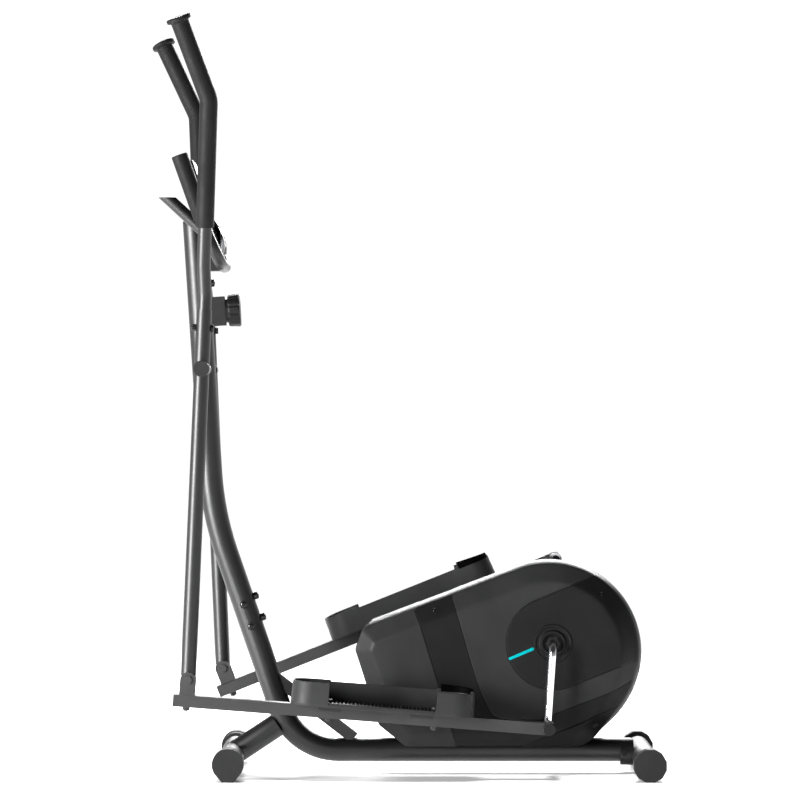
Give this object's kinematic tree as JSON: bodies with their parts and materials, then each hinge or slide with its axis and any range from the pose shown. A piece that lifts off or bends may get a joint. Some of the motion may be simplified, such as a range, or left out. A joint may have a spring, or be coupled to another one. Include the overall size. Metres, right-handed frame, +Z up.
{
  "type": "elliptical trainer",
  "caption": "Upright elliptical exercise machine: tube frame, swinging handles, foot pedals on linked arms, covered belt drive with crank and flywheel.",
  "frame": {"origin": "on the floor, at the middle of the machine's overall length and width", "axes": "+X to the rear (crank end), +Y to the user's right, +Z up; the user faces -X"},
  "size_m": [1.0961, 0.6388, 1.5914],
  "materials": {
    "frame_paint": "satin black powder coat",
    "arm_paint": "matt dark grey powder coat",
    "black_steel": "black oxide",
    "chrome": "polished chrome",
    "steel": "turned steel",
    "iron": "turned and painted",
    "cap_plastic": "fine texture",
    "shroud_plastic": "satin moulded",
    "panel_plastic": "fine texture",
    "disc_plastic": "fine texture",
    "pedal_plastic": "fine texture, ribbed tread",
    "foam": "closed-cell foam",
    "knob_plastic": "ribbed",
    "console_plastic": "satin moulded",
    "display": "clear window over a grey display",
    "button_plastic": "soft keys",
    "nylon": "natural nylon",
    "belt_rubber": "ribbed belt"
  },
  "bodies": {
    "frame": {"axle_end_caps": "cap_plastic", "base_frame_tube": "frame_paint", "console_housing": "console_plastic", "console_screen": "display", "crank_bearings": "steel", "disc_cover_left": "disc_plastic", "disc_cover_right": "disc_plastic", "drive_belt": "belt_rubber", "drive_bracket": "frame_paint", "fixed_grips": "foam", "fixed_handlebar": "frame_paint", "flywheel_axle": "steel", "frame_bolts": "black_steel", "front_bar": "frame_paint", "front_end_caps": "cap_plastic", "front_stabilizer": "frame_paint", "front_strut": "frame_paint", "handle_axle": "frame_paint", "handlebar_clamp": "frame_paint", "idler_arm": "frame_paint", "mast": "frame_paint", "mast_brace": "frame_paint", "rear_stabilizer": "frame_paint", "shroud_left": "shroud_plastic", "shroud_right": "shroud_plastic", "side_panels_left": "panel_plastic", "side_panels_right": "panel_plastic", "tablet_ledge": "console_plastic", "tension_block": "cap_plastic"},
    "crank": {"crankshaft": "chrome", "crank_lock_nuts": "black_steel", "drive_pulley": "nylon"},
    "flywheel": {"flywheel": "iron"},
    "idler": {"idler_wheel": "nylon"},
    "brake": {"brake_arm": "iron"},
    "knob": {"tension_knob": "knob_plastic"},
    "left_handle": {"lower_handle_left": "frame_paint", "upper_handle_left": "frame_paint", "hand_grip_left": "foam", "handle_hardware_left": "black_steel"},
    "left_arm": {"pedal_arm_left": "arm_paint", "arm_yoke_left": "arm_paint", "arm_pins_left": "arm_paint", "crank_pin_left": "black_steel", "foot_pedal_left": "pedal_plastic"},
    "left_wheel": {"transport_wheel_left": "belt_rubber"},
    "left_cap": {"rear_cap_left": "cap_plastic"},
    "left_button": {"console_button_left": "button_plastic"},
    "right_handle": {"lower_handle_right": "frame_paint", "upper_handle_right": "frame_paint", "hand_grip_right": "foam", "handle_hardware_right": "black_steel"},
    "right_arm": {"pedal_arm_right": "arm_paint", "arm_yoke_right": "arm_paint", "arm_pins_right": "arm_paint", "crank_pin_right": "black_steel", "foot_pedal_right": "pedal_plastic"},
    "right_wheel": {"transport_wheel_right": "belt_rubber"},
    "right_cap": {"rear_cap_right": "cap_plastic"},
    "right_button": {"console_button_right": "button_plastic"}
  },
  "joints": [
    {"name": "crank_spin", "type": "hinge", "parent": "frame", "child": "crank", "pos_m": [0.3195, 0, 0.2775], "axis": [0, 1, 0], "continuous": true},
    {"name": "flywheel_spin", "type": "hinge", "parent": "frame", "child": "flywheel", "pos_m": [0.0549, 0, 0.2], "axis": [0, 1, 0], "continuous": true},
    {"name": "idler_spin", "type": "hinge", "parent": "frame", "child": "idler", "pos_m": [0.1629, 0.015, 0.14687], "axis": [0, 1, 0], "continuous": true},
    {"name": "left_swing", "type": "hinge", "parent": "frame", "child": "left_handle", "pos_m": [-0.4166, -0.198, 0.8568], "axis": [0, 1, 0], "range_deg": [-15, 13]},
    {"name": "right_swing", "type": "hinge", "parent": "frame", "child": "right_handle", "pos_m": [-0.4166, 0.198, 0.8568], "axis": [0, 1, 0], "range_deg": [-13, 15]},
    {"name": "left_arm_pitch", "type": "hinge", "parent": "left_handle", "child": "left_arm", "pos_m": [-0.44487, -0.198, 0.20942], "axis": [0, 1, 0], "range_deg": [-13, 15]},
    {"name": "right_arm_pitch", "type": "hinge", "parent": "right_handle", "child": "right_arm", "pos_m": [-0.38833, 0.198, 0.20942], "axis": [0, 1, 0], "range_deg": [-15, 13]},
    {"name": "knob_turn", "type": "hinge", "parent": "frame", "child": "knob", "pos_m": [-0.42875, 0, 0.978], "axis": [0.9979, 0, 0.0645], "range_deg": [0, 315]},
    {"name": "brake_swing", "type": "hinge", "parent": "frame", "child": "brake", "pos_m": [0.09384, 0, 0.31983], "axis": [0, -1, 0], "range_deg": [0, 1.6]},
    {"name": "left_wheel_spin", "type": "hinge", "parent": "frame", "child": "left_wheel", "pos_m": [-0.3601, -0.213, 0.0368], "axis": [0, 1, 0], "continuous": true},
    {"name": "left_cap_turn", "type": "hinge", "parent": "frame", "child": "left_cap", "pos_m": [0.5149, -0.251, 0.034], "axis": [0, 1, 0], "range_deg": [-90, 90]},
    {"name": "left_button_press", "type": "slide", "parent": "frame", "child": "left_button", "axis": [-1, 0, 0], "range_m": [0, 0.0015], "stiffness_N_per_m": 300},
    {"name": "right_wheel_spin", "type": "hinge", "parent": "frame", "child": "right_wheel", "pos_m": [-0.3601, 0.213, 0.0368], "axis": [0, 1, 0], "continuous": true},
    {"name": "right_cap_turn", "type": "hinge", "parent": "frame", "child": "right_cap", "pos_m": [0.5149, 0.251, 0.034], "axis": [0, 1, 0], "range_deg": [-90, 90]},
    {"name": "right_button_press", "type": "slide", "parent": "frame", "child": "right_button", "axis": [-1, 0, 0], "range_m": [0, 0.0015], "stiffness_N_per_m": 300}
  ],
  "couplings": [
    {"joint": "flywheel_spin", "follows": "crank_spin", "ratio": 6.5},
    {"joint": "idler_spin", "follows": "crank_spin", "ratio": -8.3125},
    {"joint": "right_swing", "follows": "left_swing", "ratio": -1},
    {"joint": "left_arm_pitch", "follows": "left_swing", "ratio": -1},
    {"joint": "right_arm_pitch", "follows": "left_swing", "ratio": 1},
    {"joint": "brake_swing", "follows": "knob_turn", "ratio": 0.004762}
  ]
}
